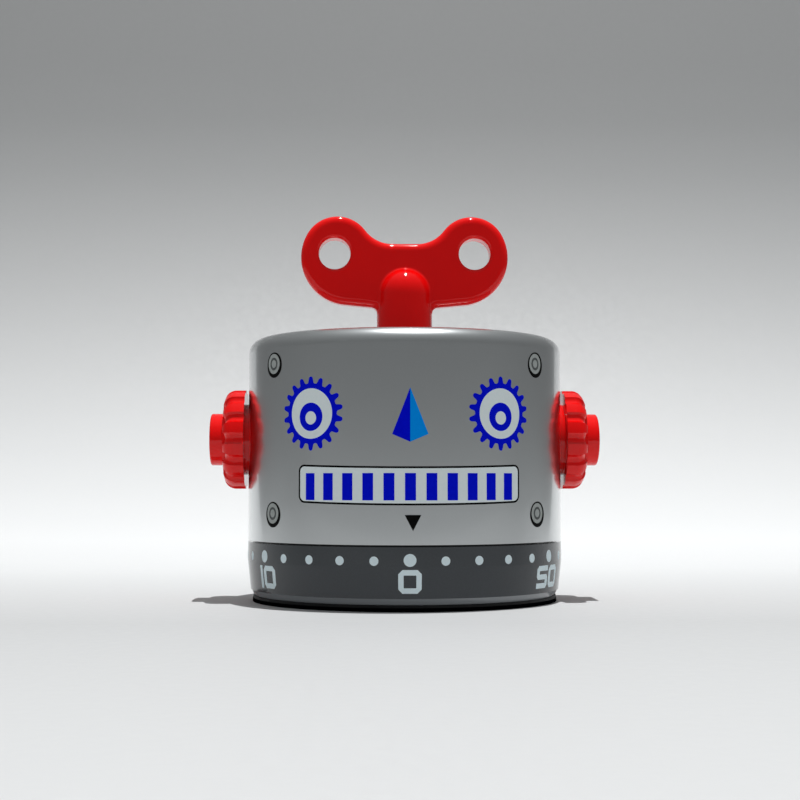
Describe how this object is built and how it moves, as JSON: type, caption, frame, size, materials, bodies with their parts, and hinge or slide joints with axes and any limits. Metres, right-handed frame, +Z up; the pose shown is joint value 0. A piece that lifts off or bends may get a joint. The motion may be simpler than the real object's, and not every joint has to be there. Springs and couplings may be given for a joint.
{
  "type": "robot head kitchen timer",
  "caption": "Clockwork kitchen timer: a robot head with a wind-up key and two knob ears turns on a numbered dial base to set the time, and rings a bell as it runs down.",
  "frame": {"origin": "centre of the footprint, on the surface the timer stands on", "axes": "+Z up along the head's turning axis, -Y towards the face, +X towards the ear on the viewer's right"},
  "size_m": [0.0768, 0.062, 0.0764],
  "materials": {
    "foot_black": "matt",
    "cover_black": "matt",
    "dial_grey": "metallic satin",
    "head_silver": "fine metallic",
    "red_gloss": "gloss",
    "black_plastic": "matt",
    "steel": "brushed",
    "bright_steel": "plated",
    "spring_steel": "blued",
    "brass": "satin"
  },
  "bodies": {
    "base": {"foot_ring": "foot_black", "bottom_cover": "cover_black", "dial_base": "dial_grey", "bottom_plate": "steel", "top_plate": "steel", "mainspring": "spring_steel", "hairspring": "spring_steel", "bell_post": "steel", "bell": "bright_steel", "bell_nut": "brass", "cover_screw_1": "steel", "cover_screw_2": "steel", "cover_screw_3": "steel", "movement_screw_1": "steel", "movement_screw_2": "steel", "movement_screw_3": "steel", "pillar_1": "steel", "pillar_2": "steel", "pillar_3": "steel", "pillar_4": "steel", "pillar_nut_1": "brass", "pillar_nut_2": "brass", "pillar_nut_3": "brass", "pillar_nut_4": "brass"},
    "head": {"head_shell": "head_silver", "bearing_ring": "black_plastic", "head_hub": "black_plastic", "wind_key": "red_gloss", "key_clip": "spring_steel", "left_ear": "red_gloss", "right_ear": "red_gloss", "left_ear_washer": "steel", "right_ear_washer": "steel", "left_ear_screw": "steel", "right_ear_screw": "steel", "main_arbor": "steel", "ratchet_wheel": "brass", "cam_disc": "steel"},
    "great": {"great_wheel": "brass", "click_spring": "spring_steel"},
    "click": {"click": "steel"},
    "second": {"second_wheel": "brass", "second_arbor": "steel"},
    "third": {"third_wheel": "brass", "third_arbor": "steel"},
    "escape": {"escape_wheel": "brass", "escape_arbor": "steel"},
    "pallet": {"pallet_lever": "brass", "pallet_arbor": "steel"},
    "balance": {"balance_wheel": "brass", "balance_staff": "steel"},
    "alarm": {"alarm_arbor": "steel", "star_wheel": "steel"},
    "hammer": {"hammer_arm": "steel", "hammer_head": "brass", "hammer_arbor": "steel"}
  },
  "joints": [
    {"name": "head_turn", "type": "hinge", "parent": "base", "child": "head", "pos_m": [0, 0, 0.0143], "axis": [0, 0, -1], "range_deg": [0, 342], "deforming": ["mainspring"]},
    {"name": "great_wheel_turn", "type": "hinge", "parent": "base", "child": "great", "pos_m": [0, 0, 0.0152], "axis": [0, 0, -1], "continuous": true},
    {"name": "click_lift", "type": "hinge", "parent": "great", "child": "click", "pos_m": [0.0085, 0, 0.0143], "axis": [0, 0, -1], "range_deg": [0, 12], "stiffness_Nm_per_rad": 0.0002},
    {"name": "second_turn", "type": "hinge", "parent": "base", "child": "second", "pos_m": [0.00792, 0.01372, 0.017], "axis": [0, 0, -1], "continuous": true},
    {"name": "third_turn", "type": "hinge", "parent": "base", "child": "third", "pos_m": [-0.00209, 0.01566, 0.0206], "axis": [0, 0, -1], "continuous": true},
    {"name": "escape_turn", "type": "hinge", "parent": "base", "child": "escape", "pos_m": [-0.01119, 0.01346, 0.0185], "axis": [0, 0, -1], "continuous": true},
    {"name": "alarm_turn", "type": "hinge", "parent": "base", "child": "alarm", "pos_m": [0.0081, -0.01403, 0.0252], "axis": [0, 0, -1], "continuous": true},
    {"name": "balance_swing", "type": "hinge", "parent": "base", "child": "balance", "pos_m": [-0.01635, -0.00224, 0.0168], "axis": [0, 0, 1], "range_deg": [-30, 30], "stiffness_Nm_per_rad": 0.00001, "deforming": ["hairspring"]},
    {"name": "pallet_rock", "type": "hinge", "parent": "base", "child": "pallet", "pos_m": [-0.01516, 0.00769, 0.0177], "axis": [0, 0, 1], "range_deg": [-6, 6]},
    {"name": "hammer_swing", "type": "hinge", "parent": "base", "child": "hammer", "pos_m": [-0.0054, -0.01485, 0.0252], "axis": [0, 0, 1], "range_deg": [0, 3], "stiffness_Nm_per_rad": 0.001}
  ],
  "couplings": [
    {"joint": "great_wheel_turn", "follows": "head_turn", "ratio": 1},
    {"joint": "second_turn", "follows": "head_turn", "ratio": -10},
    {"joint": "third_turn", "follows": "head_turn", "ratio": 75},
    {"joint": "escape_turn", "follows": "head_turn", "ratio": -600},
    {"joint": "alarm_turn", "follows": "head_turn", "ratio": -8},
    {"joint": "pallet_rock", "follows": "balance_swing", "ratio": -0.19}
  ]
}
